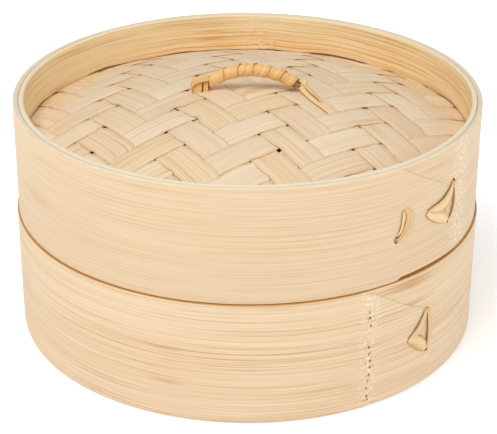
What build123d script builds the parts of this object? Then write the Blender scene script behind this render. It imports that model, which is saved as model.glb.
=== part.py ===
# Bamboo steamer basket: one tier with a slatted floor, and a woven, domed lid with a cane handle.
# Millimetres. The origin is at the centre of the foot, +Z is up, and -Y is the front.
from build123d import *
from math import asin, ceil, cos, degrees, floor, pi, radians, sin, sqrt
import os

os.makedirs("parts", exist_ok=True)

# Overall sizes
lid_diameter = 203.0
lid_height = 50.0
tier_height = 55.0
seat_gap = 0.3  # between the closed lid and the tier it stands on

# Bent hoops: a wide outer band, lined by narrower inner bands
lid_outer_ply = 2.4
tier_outer_ply = 3.6
inner_ply = 2.3
ply_gap = 0.05  # between two bands, or two pieces, that are pressed together
collar_height = 6.0  # how far the tier's inner band stands above its outer band
collar_clearance = 0.5  # radial play of the lid over the collar
socket_clearance = 0.6  # radial play of the foot over another tier's collar
lower_band_height = 7.0

# Floor of the tier: slats across the ribs
rib_count = 3
rib_width = 7.0
rib_drop = 1.5  # wood left in the band below each rib's window
rib_lip = 1.4  # wood left in the band above each rib's window
slat_count = 10
slat_gap = 3.8
slat_thickness = 2.0

# Woven sheet of the lid: over two, under two, bent to a low dome
sheet_drop = 18.0  # from the rim down to the edge of the sheet
crown_rise = 18.0
weave_angle = 35.9  # of the long strips, from +X
long_strip_pitch = 13.3
cross_strip_pitch = 14.2
weave_shift = (-30.0, -17.3)  # one crossing of the weave, from the centre
strip_gap = 0.7
strip_thickness = 0.7
weave_play = 0.1  # between an upper and a lower strip where they cross
liner_gap = 0.22
liner_thickness = 1.0
sheet_play = 0.3  # between the edge of the sheet and the outer band round it
batten_width = 9.0
batten_thickness = 2.5

# Cane handle, tied to the crown of the lid
handle_shift = 1.5  # of the handle, from the centre towards +X
handle_span = 38.0  # between the feet, on the centreline
handle_rise = 7.0
core_radius = 1.8
wrap_thickness = 0.95
wrap_turns = 7
wrap_cover = 0.86  # share of the arch that the wrapping covers
peg_radius = 1.3
peg_length = 5.0
tie_clearance = 0.35
tie_thickness = 1.0
tie_width = 3.2
foot_clearance = 0.35  # between the handle's core and the weave

# Split cane that ties the lapped ends of the outer bands
cane_width = 2.2
cane_thickness = 0.9
cane_standoff = 0.1
cane_hole = 1.6
cane_hole_play = 0.2
tab_length = 4.0

# Radii that follow from the sizes above
lid_radius = lid_diameter / 2
lid_bore = lid_radius - lid_outer_ply
collar_radius = lid_bore - collar_clearance
tier_bore = collar_radius + ply_gap
tier_radius = tier_bore + tier_outer_ply
tier_inner_radius = collar_radius - inner_ply
lid_inner_radius = lid_bore - ply_gap - inner_ply
socket_radius = collar_radius + socket_clearance
socket_depth = collar_height + seat_gap

# Heights in the tier
lower_band_top = socket_depth + lower_band_height
slat_bottom = lower_band_top + ply_gap
slat_top = slat_bottom + slat_thickness
collar_top = tier_height + collar_height

# Heights in the lid
lid_bottom = tier_height + seat_gap
rim_top = lid_bottom + lid_height
sheet_edge = rim_top - sheet_drop
crown_top = sheet_edge + crown_rise
weave_depth = 2 * strip_thickness + weave_play
sheet_radius = lid_bore - sheet_play
curvature = crown_rise / lid_inner_radius**2
cell_fall = curvature * (long_strip_pitch**2 + cross_strip_pitch**2) / 4  # of a flat cell under the dome
liner_top = crown_top - weave_depth - cell_fall - liner_gap


def sag(distance):
    """How far the dome has fallen at a distance from the centre."""
    return curvature * distance**2


def ring(outer, inner, bottom, top):
    """A plain round band."""
    band = Cylinder(outer, top - bottom) - Cylinder(inner, top - bottom)
    return Pos(0, 0, (bottom + top) / 2) * band


def wall_plane(azimuth):
    """A plane through the axis, x along the wall, y up and z outwards; azimuth 0 is the front."""
    turn = radians(azimuth)
    return Plane(origin=(0, 0, 0), x_dir=(cos(turn), sin(turn), 0), z_dir=(sin(turn), -cos(turn), 0))


# ---------------------------------------------------------------- cane ties in the walls

def along_wall(azimuth, centre, radius):
    """Distance along the wall from the centre of a tie to an azimuth."""
    return radius * sin(radians(azimuth - centre))


def cane_hole_cut(azimuth, height, play):
    """A square peg of cane, or with play the hole for it, right through a wall."""
    size = cane_hole + 2 * play
    reach = 3 * (tier_outer_ply + inner_ply)
    peg = Pos(0, height, lid_radius) * Box(size, size, reach)
    return wall_plane(azimuth) * peg


def cane_loop(loop, centre, holes, radius, depth):
    """A flat loop of cane on the outside of a wall, with its ends in the holes down to a depth."""
    face = radius + cane_standoff
    outside = face + cane_thickness
    column = extrude(Pos(0, 0, radius / 2) * loop, radius)
    tie = ring(outside, face, 0, rim_top) & (wall_plane(centre) * column)
    for azimuth, height in holes:
        tie += cane_hole_cut(azimuth, height, 0) & ring(outside, depth, 0, rim_top)
    return tie


def bent_ends(holes, inner):
    """The ends of a loop that go right through a wall, bent over on its inner face."""
    face = inner - cane_standoff
    ends = []
    for azimuth, height in holes:
        tab = Pos(0, height, face) * Box(tab_length, cane_hole, 4 * cane_thickness)
        ends.append((wall_plane(azimuth) * tab) & ring(face, face - cane_thickness, 0, rim_top))
    return ends


def through_tie(loop, centre, holes, radius, inner):
    """A cane loop whose ends go through both bands and are bent over inside."""
    tie = cane_loop(loop, centre, holes, radius, inner - cane_standoff - cane_thickness)
    for end in bent_ends(holes, inner):
        tie += end
    return tie


def triangle_loop(corners, centre, radius):
    """A triangle of cane, drawn flat on the wall plane at its centre."""
    points = [(along_wall(azimuth, centre, radius), height) for azimuth, height in corners]
    outline = make_face(Polyline(*points, close=True))
    return outline - offset(outline, -cane_width, kind=Kind.INTERSECTION)


def oval_loop(top, bottom, centre, radius, width):
    """A narrow oval of cane between two holes."""
    x0, x1 = along_wall(bottom[0], centre, radius), along_wall(top[0], centre, radius)
    y0, y1 = bottom[1], top[1]
    length = sqrt((x1 - x0) ** 2 + (y1 - y0) ** 2)
    lean = degrees(asin((x1 - x0) / length))
    oval = Ellipse(width / 2, (length + cane_width) / 2)
    oval -= Ellipse(width / 2 - cane_width * 0.6, (length - cane_width) / 2)
    return Pos((x0 + x1) / 2, (y0 + y1) / 2) * Rot(0, 0, -lean) * oval


# Azimuth and height of each corner and hole
lid_tie_low = lid_bottom + 17.0
lid_tie_high = sheet_edge + 1.8
lid_triangle_centre = 51.0
lid_triangle = [(44.5, lid_tie_high - 7.0), (55.5, lid_tie_high), (54.5, lid_tie_low - 0.6)]
lid_triangle_holes = [(54.6, lid_tie_high - 0.2), (53.6, lid_tie_low + 0.4)]
lid_oval_centre = 36.25
lid_oval_holes = [(37.0, lid_tie_high - 2.2), (35.5, lid_tie_low)]
lid_oval_width = 6.0
tier_tie_low = slat_top + 3.0
tier_tie_high = tier_tie_low + 16.6
tier_triangle_centre = 45.0
tier_triangle = [(40.8, tier_tie_high - 9.6), (48.0, tier_tie_high + 1.4), (48.6, tier_tie_low - 2.8)]
tier_triangle_holes = [(47.2, tier_tie_high), (47.6, tier_tie_low)]


def cut_cane_holes(band, holes):
    """Open the cane's holes in a band."""
    for azimuth, height in holes:
        band -= cane_hole_cut(azimuth, height, cane_hole_play)
    return band


# ---------------------------------------------------------------- tier

def tier_outer_hoop():
    """The full-height band, pared thin at the foot so that it drops over another tier's collar."""
    band = ring(tier_radius, tier_bore, 0, tier_height)
    band -= Pos(0, 0, socket_depth / 2) * Cylinder(socket_radius, socket_depth)
    return cut_cane_holes(band, tier_triangle_holes)


def tier_upper_hoop():
    """The inner band above the floor; its top is the collar that locates the lid."""
    band = ring(collar_radius, tier_inner_radius, slat_top + ply_gap, collar_top)
    return cut_cane_holes(band, tier_triangle_holes)


def rib_places():
    """Where the ribs cross the X axis."""
    pitch = 2 * tier_inner_radius / (rib_count + 1)
    return [-tier_inner_radius + pitch * (n + 1) for n in range(rib_count)]


def rib_tenon(x, play):
    """The thin ends of a rib, or with play the windows for them."""
    bottom = socket_depth + rib_drop - play
    top = lower_band_top - rib_lip + play
    length = 2 * (collar_radius - ply_gap + play)
    return Pos(x, 0, (bottom + top) / 2) * Box(rib_width + 2 * play, length, top - bottom)


def tier_lower_hoop():
    """The inner band under the floor, with windows for the ribs."""
    band = ring(collar_radius, tier_inner_radius, socket_depth, lower_band_top)
    for x in rib_places():
        band -= rib_tenon(x, 2 * ply_gap)
    return band


def floor_rib(x):
    """A cross bar: full depth between the bands, thinned where it enters its windows."""
    bottom = socket_depth + rib_drop
    depth = lower_band_top - bottom
    bar = Pos(x, 0, bottom + depth / 2) * Box(rib_width, 2 * tier_inner_radius, depth)
    bar &= Cylinder(tier_inner_radius - 2 * ply_gap, 4 * tier_height)
    return bar + (rib_tenon(x, 0) & Cylinder(collar_radius - ply_gap, 4 * tier_height))


def floor_slat(n):
    """A flat slat on the ribs, its ends held between the two inner bands."""
    width = (2 * tier_inner_radius - (slat_count + 1) * slat_gap) / slat_count
    y = -tier_inner_radius + slat_gap + width / 2 + n * (width + slat_gap)
    slat = Pos(0, y, slat_bottom + slat_thickness / 2) * Box(2 * collar_radius, width, slat_thickness)
    return slat & Cylinder(collar_radius - 2 * ply_gap, 4 * tier_height)


# ---------------------------------------------------------------- lid

def lid_outer_hoop():
    """The lid's full-height band."""
    band = ring(lid_radius, lid_bore, lid_bottom, rim_top)
    return cut_cane_holes(band, lid_triangle_holes + lid_oval_holes)


def lid_rim_hoop():
    """The inner band that stands above the woven sheet."""
    band = ring(lid_bore - ply_gap, lid_inner_radius, sheet_edge + ply_gap, rim_top)
    return cut_cane_holes(band, lid_triangle_holes)


def lid_lower_hoop():
    """The inner band that holds the sheet up from below and stops short of the tier's collar."""
    top = liner_top - liner_thickness - sag(sheet_radius) - ply_gap
    band = ring(lid_bore - ply_gap, lid_inner_radius, lid_bottom + socket_depth, top)
    return cut_cane_holes(band, lid_triangle_holes)


def dome_curve(top, half_span):
    """A parabola in the XZ plane that follows the dome from -X to +X."""
    fall = sag(half_span)
    return Bezier((-half_span, 0, top - fall), (0, 0, top + fall), (half_span, 0, top - fall))


def dome_section(top, thickness, half_span):
    """The section of a thin domed piece, as a face in the XZ plane."""
    upper = dome_curve(top, half_span)
    lower = dome_curve(top - thickness, half_span)
    ends = [Line(upper @ 0, lower @ 0), Line(upper @ 1, lower @ 1)]
    return make_face([upper, lower] + ends)


def lid_liner():
    """The closed inner layer under the open weave."""
    right_half = Plane.XZ * Pos(sheet_radius, liner_top) * Rectangle(2 * sheet_radius, 4 * crown_rise)
    return revolve(dome_section(liner_top, liner_thickness, sheet_radius) & right_half, Axis.Z)


def lid_batten(level, turn):
    """A split bamboo bar bent under the dome, from wall to wall."""
    top = liner_top - liner_thickness - liner_gap - level * (batten_thickness + ply_gap)
    half_span = lid_inner_radius - 2 * tie_clearance
    section = dome_section(top, batten_thickness, half_span)
    bar = extrude(section, batten_width / 2, both=True, dir=(0, 1, 0))
    return Rot(0, 0, turn) * (bar & Cylinder(half_span, 4 * rim_top))


weave_turn = radians(weave_angle)
weave_u = weave_shift[0] * cos(weave_turn) + weave_shift[1] * sin(weave_turn)
weave_v = -weave_shift[0] * sin(weave_turn) + weave_shift[1] * cos(weave_turn)


def cells(shift, pitch):
    """Numbers of the cells between two crossings that the sheet covers."""
    reach = sheet_radius - strip_gap
    return range(floor((-reach - shift) / pitch), ceil((reach - shift) / pitch))


def on_top(n):
    """Whether a strip lies on top in the nth cell of the over-two, under-two pattern."""
    return n % 4 < 2


def strip_side(crossings, pitch, shift, is_over):
    """The side of one strip in its own XZ plane: flat over each cell, stepping down in the gaps."""
    top, bottom = [], []
    for n in crossings:
        lift = 0 if is_over(n) else -strip_thickness - weave_play
        for place in (n * pitch + shift + strip_gap / 2, (n + 1) * pitch + shift - strip_gap / 2):
            left, right = n * pitch + shift, (n + 1) * pitch + shift
            share = (place - left) / pitch
            height = crown_top - sag(left) * (1 - share) - sag(right) * share + lift
            top.append((place, 0, height))
            bottom.append((place, 0, height - strip_thickness))
    return make_face(Polyline(*top, *reversed(bottom), close=True))


def bent_strip(crossings, pitch, shift, row, row_pitch, row_shift, is_over):
    """A strip with that side, as wide as its row less the gap, falling with the dome."""
    near, far = row * row_pitch + row_shift, (row + 1) * row_pitch + row_shift
    slope = -(sag(far) - sag(near)) / row_pitch
    side = strip_side(crossings, pitch, shift, is_over)
    start = strip_gap / 2
    side = Pos(0, near + start, slope * start - sag(near)) * side
    width = row_pitch - strip_gap
    strip = extrude(side, width * sqrt(1 + slope**2), dir=(0, 1, slope))
    return strip & Cylinder(sheet_radius, 4 * rim_top)


def long_strip(row):
    """A strip of the first direction, which lies on top where it goes over."""
    strip = bent_strip(
        cells(weave_u, cross_strip_pitch), cross_strip_pitch, weave_u,
        row, long_strip_pitch, weave_v, lambda n: not on_top(n - row - 1),
    )
    return Rot(0, 0, weave_angle) * strip


def cross_strip(row):
    """A strip of the second direction, on top wherever the first goes under."""
    strip = bent_strip(
        cells(-weave_v, long_strip_pitch), long_strip_pitch, -weave_v,
        row, cross_strip_pitch, weave_u, lambda n: on_top(row + n),
    )
    return Rot(0, 0, weave_angle - 90) * strip


# ---------------------------------------------------------------- handle

arch_radius = (handle_span**2 / 4 + handle_rise**2) / (2 * handle_rise)
arch_half_angle = degrees(asin(handle_span / 2 / arch_radius))
handle_pivot = crown_top - sag(handle_shift) + core_radius + foot_clearance
arch_centre = handle_pivot + handle_rise - arch_radius


def arch_piece(outer, inner, start, end):
    """A stretch of round bar or tube along the arch, between two angles from the top."""
    section = Circle(outer) - Circle(inner) if inner else Circle(outer)
    at_top = Plane(origin=(0, 0, arch_radius), z_dir=(1, 0, 0)) * section
    bent = revolve(at_top, Axis.Y, end - start)
    return Pos(handle_shift, 0, arch_centre) * Rot(0, start, 0) * bent


def handle_core():
    """The bent cane rod, with a thin peg out of each foot along the tilt axis."""
    core = arch_piece(core_radius, 0, -arch_half_angle, arch_half_angle)
    for side in (-1, 1):
        foot = Pos(handle_shift + side * handle_span / 2, 0, handle_pivot)
        core += foot * Sphere(core_radius)
        core += foot * Pos(side * peg_length / 2, 0, 0) * Rot(0, 90, 0) * Cylinder(peg_radius, peg_length)
    return core


def handle_wrap():
    """The cane ribbon round the core, as one short sleeve for each turn."""
    reach = arch_half_angle * wrap_cover
    step = 2 * reach / wrap_turns
    inner = core_radius + ply_gap
    outer = core_radius + wrap_thickness
    seam = degrees(ply_gap / arch_radius)
    return Compound([
        arch_piece(outer, inner, -reach + n * step, -reach + (n + 1) * step - seam) for n in range(wrap_turns)
    ])


def handle_tie(side):
    """A cane loop over a foot's peg, its two legs standing on the weave."""
    x = handle_shift + side * (handle_span / 2 + core_radius + tie_clearance + tie_width / 2)
    inner = peg_radius + tie_clearance
    outer = inner + tie_thickness
    foot = crown_top - sag(abs(x) - tie_width / 2) + ply_gap
    leg = handle_pivot - foot
    arch = (Circle(outer) - Circle(inner)) & (Pos(0, outer) * Rectangle(2 * outer, 2 * outer))
    legs = [Pos(end * (inner + outer) / 2, -leg / 2) * Rectangle(tie_thickness, leg) for end in (-1, 1)]
    section = Plane(origin=(x, 0, handle_pivot), x_dir=(0, 1, 0), z_dir=(1, 0, 0)) * (arch + legs)
    return extrude(section, tie_width / 2, both=True)


# ---------------------------------------------------------------- write one file for each piece

def save(shape, node):
    export_step(shape, f"parts/{node}.step")


save(tier_outer_hoop(), "tier_outer_hoop")
save(tier_upper_hoop(), "tier_upper_inner_hoop")
save(tier_lower_hoop(), "tier_lower_inner_hoop")
for number, rib_x in enumerate(rib_places(), 1):
    save(floor_rib(rib_x), f"floor_rib_{number}")
for number in range(slat_count):
    save(floor_slat(number), f"floor_slat_{number + 1:02d}")
tier_loop = triangle_loop(tier_triangle, tier_triangle_centre, tier_radius)
tier_tie = through_tie(tier_loop, tier_triangle_centre, tier_triangle_holes, tier_radius, tier_inner_radius)
save(tier_tie, "tier_cane_triangle")

save(lid_outer_hoop(), "lid_outer_hoop")
save(lid_rim_hoop(), "lid_rim_hoop")
save(lid_lower_hoop(), "lid_lower_inner_hoop")
save(lid_liner(), "lid_liner")
save(lid_batten(0, 0), "lid_batten_along")
save(lid_batten(1, 90), "lid_batten_across")
for number, row in enumerate(cells(weave_v, long_strip_pitch), 1):
    save(long_strip(row), f"long_strip_{number:02d}")
for number, row in enumerate(cells(weave_u, cross_strip_pitch), 1):
    save(cross_strip(row), f"cross_strip_{number:02d}")
lid_loop = triangle_loop(lid_triangle, lid_triangle_centre, lid_radius)
lid_tie = through_tie(lid_loop, lid_triangle_centre, lid_triangle_holes, lid_radius, lid_inner_radius)
save(lid_tie, "lid_cane_triangle")
oval = oval_loop(lid_oval_holes[0], lid_oval_holes[1], lid_oval_centre, lid_radius, lid_oval_width)
save(cane_loop(oval, lid_oval_centre, lid_oval_holes, lid_radius, lid_bore), "lid_cane_oval")

save(handle_core(), "handle_core")
save(handle_wrap(), "handle_wrap")
save(handle_tie(-1), "handle_tie_left")
save(handle_tie(1), "handle_tie_right")
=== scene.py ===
import math
import random

import bpy
import numpy as np
from mathutils import Matrix, Vector, noise


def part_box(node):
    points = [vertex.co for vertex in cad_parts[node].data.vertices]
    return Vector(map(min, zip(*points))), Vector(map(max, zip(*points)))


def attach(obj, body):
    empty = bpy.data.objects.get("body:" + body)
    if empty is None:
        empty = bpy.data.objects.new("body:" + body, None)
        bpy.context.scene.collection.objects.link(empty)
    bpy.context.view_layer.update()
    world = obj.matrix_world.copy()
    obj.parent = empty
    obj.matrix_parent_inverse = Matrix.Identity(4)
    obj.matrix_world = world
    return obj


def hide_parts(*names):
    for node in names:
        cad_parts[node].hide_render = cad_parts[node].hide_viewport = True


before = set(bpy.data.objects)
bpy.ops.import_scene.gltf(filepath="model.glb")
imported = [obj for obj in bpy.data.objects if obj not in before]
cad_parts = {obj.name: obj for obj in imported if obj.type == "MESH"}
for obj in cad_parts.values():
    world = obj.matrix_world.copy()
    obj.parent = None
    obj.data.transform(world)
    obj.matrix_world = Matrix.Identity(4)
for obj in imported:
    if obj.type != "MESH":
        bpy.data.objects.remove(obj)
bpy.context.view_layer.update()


# ==== Tier, outer band ======================================================================
# One wide strip of split bamboo, steamed, bent into a ring and lapped over itself at the front
# right. The outer end is cut on a slant and pared thin, and the lower edge is shaved round.

def tone(red, green, blue):
    """A colour given in the 0 to 255 steps of a colour chart, as the shader takes it."""
    shares = [value / 255 for value in (red, green, blue)]
    return tuple(((s + 0.055) / 1.055) ** 2.4 if s > 0.04 else s / 12.92 for s in shares) + (1.0,)


def place(tree, kind, sockets=(), **settings):
    """Adds a node. Each socket gets a link if its value is an output, and the plain value if not."""
    made = tree.nodes.new("ShaderNode" + kind)
    for key, value in settings.items():
        setattr(made, key, value)
    for key, value in dict(sockets).items():
        if isinstance(value, bpy.types.NodeSocket):
            tree.links.new(value, made.inputs[key])
        else:
            made.inputs[key].default_value = value
    return made


def reckon(tree, operation, *terms):
    return place(tree, "Math", enumerate(terms), operation=operation).outputs[0]


def cloud(tree, at, detail=2.0, rough=0.55):
    """Noise, from about 0.2 to 0.8, at a place that is already scaled."""
    sockets = {"Vector": at, "Scale": 1.0, "Detail": detail, "Roughness": rough}
    return place(tree, "TexNoise", sockets).outputs["Fac"]


def spot(tree, x, y, z):
    return place(tree, "CombineXYZ", {"X": x, "Y": y, "Z": z}).outputs[0]


def ramp(tree, value, low, high, to_low=0.0, to_high=1.0):
    sockets = {"Value": value, "From Min": low, "From Max": high, "To Min": to_low, "To Max": to_high}
    return place(tree, "MapRange", sockets, interpolation_type="SMOOTHSTEP").outputs[0]


def blend(tree, share, below, above):
    made = place(tree, "Mix", data_type="RGBA")
    for socket, value in ((made.inputs[0], share), (made.inputs[6], below), (made.inputs[7], above)):
        if isinstance(value, bpy.types.NodeSocket):
            tree.links.new(value, socket)
        else:
            socket.default_value = value
    return made.outputs[2]


def new_group(name, inputs, outputs):
    group = bpy.data.node_groups.new(name, "ShaderNodeTree")
    for label, kind, value in inputs:
        socket = group.interface.new_socket(label, in_out="INPUT", socket_type="NodeSocket" + kind)
        if value is not None:
            socket.default_value = value
    for label, kind in outputs:
        group.interface.new_socket(label, in_out="OUTPUT", socket_type="NodeSocket" + kind)
    return group, group.nodes.new("NodeGroupInput").outputs, group.nodes.new("NodeGroupOutput").inputs


def bamboo_fibre():
    """Long pale fibres with darker veins, amber bands, and the knotted joints of the cane."""
    white = (1, 1, 1, 1)
    tree, given, out = new_group("bamboo fibre", [
        ("Fibre", "Vector", None), ("Seed", "Float", 0.0),
        ("Joint", "Float", 9.0), ("Far Joint", "Float", 9.0), ("Joint Spread", "Float", 0.007),
        ("Pits", "Float", 0.0),
        ("Pale", "Color", white), ("Vein", "Color", white), ("Amber", "Color", white),
        ("Vein Depth", "Float", 0.5), ("Amber Depth", "Float", 0.5), ("Line Depth", "Float", 0.3),
        ("Fineness", "Float", 1.0),
    ], [("Color", "Color"), ("Height", "Float"), ("Roughness", "Float")])
    parts = place(tree, "SeparateXYZ", {0: given["Fibre"]}).outputs
    seed = given["Seed"]
    # How far from the nearer joint, whose line wanders a little
    wander = cloud(tree, spot(tree, 0.0, reckon(tree, "MULTIPLY", parts[1], 130.0), seed))
    wander = reckon(tree, "MULTIPLY_ADD", wander, 0.004, -0.002)
    x = reckon(tree, "ADD", parts[0], wander)
    near = reckon(tree, "ABSOLUTE", reckon(tree, "SUBTRACT", x, given["Joint"]))
    far = reckon(tree, "ABSOLUTE", reckon(tree, "SUBTRACT", x, given["Far Joint"]))
    away = reckon(tree, "MINIMUM", near, far)
    knot = ramp(tree, away, 0.0, given["Joint Spread"], 1.0, 0.0)
    # Fibres wave gently along the strip, and crowd and curl at a joint
    swirl = cloud(tree, spot(tree, reckon(tree, "MULTIPLY", x, 300.0),
                             reckon(tree, "MULTIPLY", parts[1], 230.0), seed))
    sway = cloud(tree, spot(tree, reckon(tree, "MULTIPLY", x, 9.0),
                            reckon(tree, "MULTIPLY", parts[1], 60.0), seed))
    y = reckon(tree, "MULTIPLY_ADD", reckon(tree, "MULTIPLY", swirl, knot), 0.0012, parts[1])
    y = reckon(tree, "MULTIPLY_ADD", sway, 0.0008, y)
    fine = given["Fineness"]
    thread = cloud(tree, spot(tree, reckon(tree, "MULTIPLY", x, 13.0),
                              reckon(tree, "MULTIPLY", reckon(tree, "MULTIPLY", y, fine), 2300.0), seed))
    band = cloud(tree, spot(tree, reckon(tree, "MULTIPLY", x, 5.0),
                            reckon(tree, "MULTIPLY", reckon(tree, "MULTIPLY", y, fine), 800.0),
                            reckon(tree, "ADD", seed, 7.0)), 3.0)
    patch = cloud(tree, spot(tree, reckon(tree, "MULTIPLY", x, 11.0),
                             reckon(tree, "MULTIPLY", y, 50.0), reckon(tree, "ADD", seed, 13.0)))
    fleck = cloud(tree, spot(tree, reckon(tree, "MULTIPLY", x, 500.0),
                             reckon(tree, "MULTIPLY", y, 650.0), seed), 3.0)
    amber = reckon(tree, "MULTIPLY", ramp(tree, band, 0.44, 0.68), ramp(tree, patch, 0.36, 0.62, 0.25, 1.0))
    amber = reckon(tree, "MULTIPLY", amber, given["Amber Depth"])
    colour = blend(tree, amber, given["Pale"], given["Amber"])
    vein = reckon(tree, "MULTIPLY", ramp(tree, thread, 0.45, 0.62), ramp(tree, band, 0.36, 0.58, 0.45, 1.0))
    colour = blend(tree, reckon(tree, "MULTIPLY", vein, given["Vein Depth"]), colour, given["Vein"])
    # Single darker bundles run on for a long way, with hair lines between them
    for across, wide, amount in ((560.0, 0.020, 1.0), (1400.0, 0.035, 0.6)):
        bundle = cloud(tree, spot(tree, reckon(tree, "MULTIPLY", x, across / 250),
                                  reckon(tree, "MULTIPLY", reckon(tree, "MULTIPLY", y, fine), across),
                                  reckon(tree, "ADD", seed, across)), 0.0)
        off_middle = reckon(tree, "ABSOLUTE", reckon(tree, "SUBTRACT", bundle, 0.5))
        line = ramp(tree, off_middle, 0.0, wide, amount, 0.0)
        line = reckon(tree, "MULTIPLY", line, ramp(tree, patch, 0.36, 0.60, 0.3, 1.0))
        colour = blend(tree, reckon(tree, "MULTIPLY", line, given["Line Depth"]), colour, given["Vein"])
    curl = reckon(tree, "MULTIPLY", ramp(tree, fleck, 0.48, 0.62), knot)
    colour = blend(tree, reckon(tree, "MULTIPLY", curl, 0.6), colour, tone(252, 238, 210))
    # Broken sheath scars stand in a row along the joint
    beside = reckon(tree, "SUBTRACT", x, given["Joint"])
    lattice = spot(tree, reckon(tree, "MULTIPLY_ADD", beside, 420.0, 0.25),
                   reckon(tree, "MULTIPLY_ADD", parts[1], 300.0, seed), 0.0)
    scars = place(tree, "TexVoronoi", {"Vector": lattice, "Scale": 1.0, "Randomness": 0.5},
                  voronoi_dimensions="2D")
    pits = reckon(tree, "MULTIPLY", ramp(tree, scars.outputs["Distance"], 0.14, 0.30, 1.0, 0.0),
                  ramp(tree, away, 0.0012, 0.0020, 1.0, 0.0))
    pits = reckon(tree, "MULTIPLY", pits, ramp(tree, patch, 0.44, 0.56))
    pits = reckon(tree, "MULTIPLY", pits, given["Pits"])
    colour = blend(tree, pits, colour, tone(112, 62, 22))
    tree.links.new(colour, out["Color"])
    height = reckon(tree, "MULTIPLY_ADD", band, 0.6, reckon(tree, "MULTIPLY", thread, 0.5))
    height = reckon(tree, "MULTIPLY_ADD", curl, 0.25, height)
    tree.links.new(reckon(tree, "MULTIPLY_ADD", pits, -0.2, height), out["Height"])
    tree.links.new(reckon(tree, "MULTIPLY_ADD", thread, 0.25, 0.38), out["Roughness"])
    return tree


def edge_tint_and_painted_light():
    """Edges take their own tone, which fades unevenly into the face. A browner tone along the woven strips,
    cane ties and ribbon is painted shade on their outlines, and a paler tone along the lid's bands is
    painted highlight where the rim catches the light.
    """
    tree, given, out = new_group("edge tint and painted light", [
        ("Base", "Color", (1, 1, 1, 1)), ("Edge", "Color", (1, 1, 1, 1)),
        ("Fibre", "Vector", None), ("Rim", "Float", 0.0), ("Amount", "Float", 1.0),
    ], [("Color", "Color"), ("Mask", "Float")])
    stretched = place(tree, "VectorMath", {0: given["Fibre"], 1: (70.0, 900.0, 900.0)}, operation="MULTIPLY")
    ragged = reckon(tree, "MULTIPLY_ADD", cloud(tree, stretched.outputs[0]), 0.9, -0.45)
    mask = ramp(tree, reckon(tree, "ADD", given["Rim"], ragged), 0.25, 0.75)
    mask = reckon(tree, "MULTIPLY", mask, given["Amount"])
    tree.links.new(blend(tree, mask, given["Base"], given["Edge"]), out["Color"])
    tree.links.new(mask, out["Mask"])
    return tree


fibre_group, edge_group = bamboo_fibre(), edge_tint_and_painted_light()
fibre_relief = 0.0003


def bamboo(name, pale, vein, amber, edge, seed, vein_depth=0.5, amber_depth=0.5, lines=0.3, fineness=1.0,
           joint=9.0, far_joint=9.0, spread=0.007, pits=0.0, edge_amount=1.0, along=None, relief=0.35,
           shine=0.35):
    """A bamboo material. along is X or Y for a plain bar, and None where a mesh has its own fibre map."""
    made = bpy.data.materials.new(name)
    made.use_nodes = True
    tree = made.node_tree
    shader = tree.nodes["Principled BSDF"]
    if along:
        at = place(tree, "SeparateXYZ", {0: place(tree, "TexCoord").outputs["Object"]}).outputs
        order = (at[0], at[1], at[2]) if along == "X" else (at[1], at[0], at[2])
        fibre = spot(tree, order[0], reckon(tree, "MULTIPLY_ADD", order[2], 0.7, order[1]), order[2])
    else:
        fibre = place(tree, "UVMap", uv_map="fibre").outputs[0]
    grain = place(tree, "Group", node_tree=fibre_group)
    tree.links.new(fibre, grain.inputs["Fibre"])
    for key, value in {"Seed": seed, "Pale": pale, "Vein": vein, "Amber": amber, "Vein Depth": vein_depth,
                       "Amber Depth": amber_depth, "Line Depth": lines, "Fineness": fineness, "Joint": joint,
                       "Far Joint": far_joint, "Joint Spread": spread, "Pits": pits}.items():
        grain.inputs[key].default_value = value
    rim = place(tree, "Attribute", attribute_name="rim").outputs["Fac"]
    # The edge tone is painted shade on the outlines of the strips, ties and ribbon, and painted highlight on
    # the lid's rim
    edge_mix = place(tree, "Group", node_tree=edge_group)
    for key, value in {"Base": grain.outputs["Color"], "Fibre": fibre, "Rim": rim}.items():
        tree.links.new(value, edge_mix.inputs[key])
    edge_mix.inputs["Edge"].default_value = edge
    edge_mix.inputs["Amount"].default_value = edge_amount
    tree.links.new(edge_mix.outputs["Color"], shader.inputs["Base Color"])
    tree.links.new(grain.outputs["Roughness"], shader.inputs["Roughness"])
    bump = place(tree, "Bump", {"Height": grain.outputs["Height"], "Strength": relief,
                                "Distance": fibre_relief})
    tree.links.new(bump.outputs[0], shader.inputs["Normal"])
    shader.inputs["Specular IOR Level"].default_value = shine
    return made


def skin(name, points, fibre, rim, around=False, capped=False):
    """A mesh over a grid of points, [along, across], closed across. fibre has one more row each way."""
    rows, width = points.shape[:2]
    faces, corners = [], []
    for i in range(rows if around else rows - 1):
        for k in range(width):
            j, m = (i + 1) % rows, (k + 1) % width
            faces.append((i * width + k, j * width + k, j * width + m, i * width + m))
            corners += [fibre[i, k], fibre[i + 1, k], fibre[i + 1, k + 1], fibre[i, k + 1]]
    if capped:
        last = (rows - 1) * width
        faces += [tuple(range(width)), tuple(last + k for k in reversed(range(width)))]
        corners += [fibre[0, k] for k in range(width)]
        corners += [fibre[rows - 1, k] for k in reversed(range(width))]
    mesh = bpy.data.meshes.new(name)
    mesh.from_pydata([tuple(p) for p in points.reshape(-1, 3)], [], faces)
    mesh.uv_layers.new(name="fibre").uv.foreach_set("vector", np.array(corners, np.float32).ravel())
    mesh.attributes.new("rim", "FLOAT", "POINT").data.foreach_set("value", rim.astype(np.float32).ravel())
    mesh.shade_smooth()
    return mesh


def fit_piece(name, mesh, material, body, slot, *nodes):
    """Puts a finished mesh in place of its CAD nodes, riding on their body."""
    made = bpy.data.objects.new(name, mesh)
    bpy.context.scene.collection.objects.link(made)
    mesh.materials.append(material)
    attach(made, body)
    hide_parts(*nodes)
    return made


def ease(value):
    value = np.clip(value, 0, 1)
    return value * value * (3 - 2 * value)


def wave(x, y, z=0.0):
    return noise.noise(Vector((x, y, z)))


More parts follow.
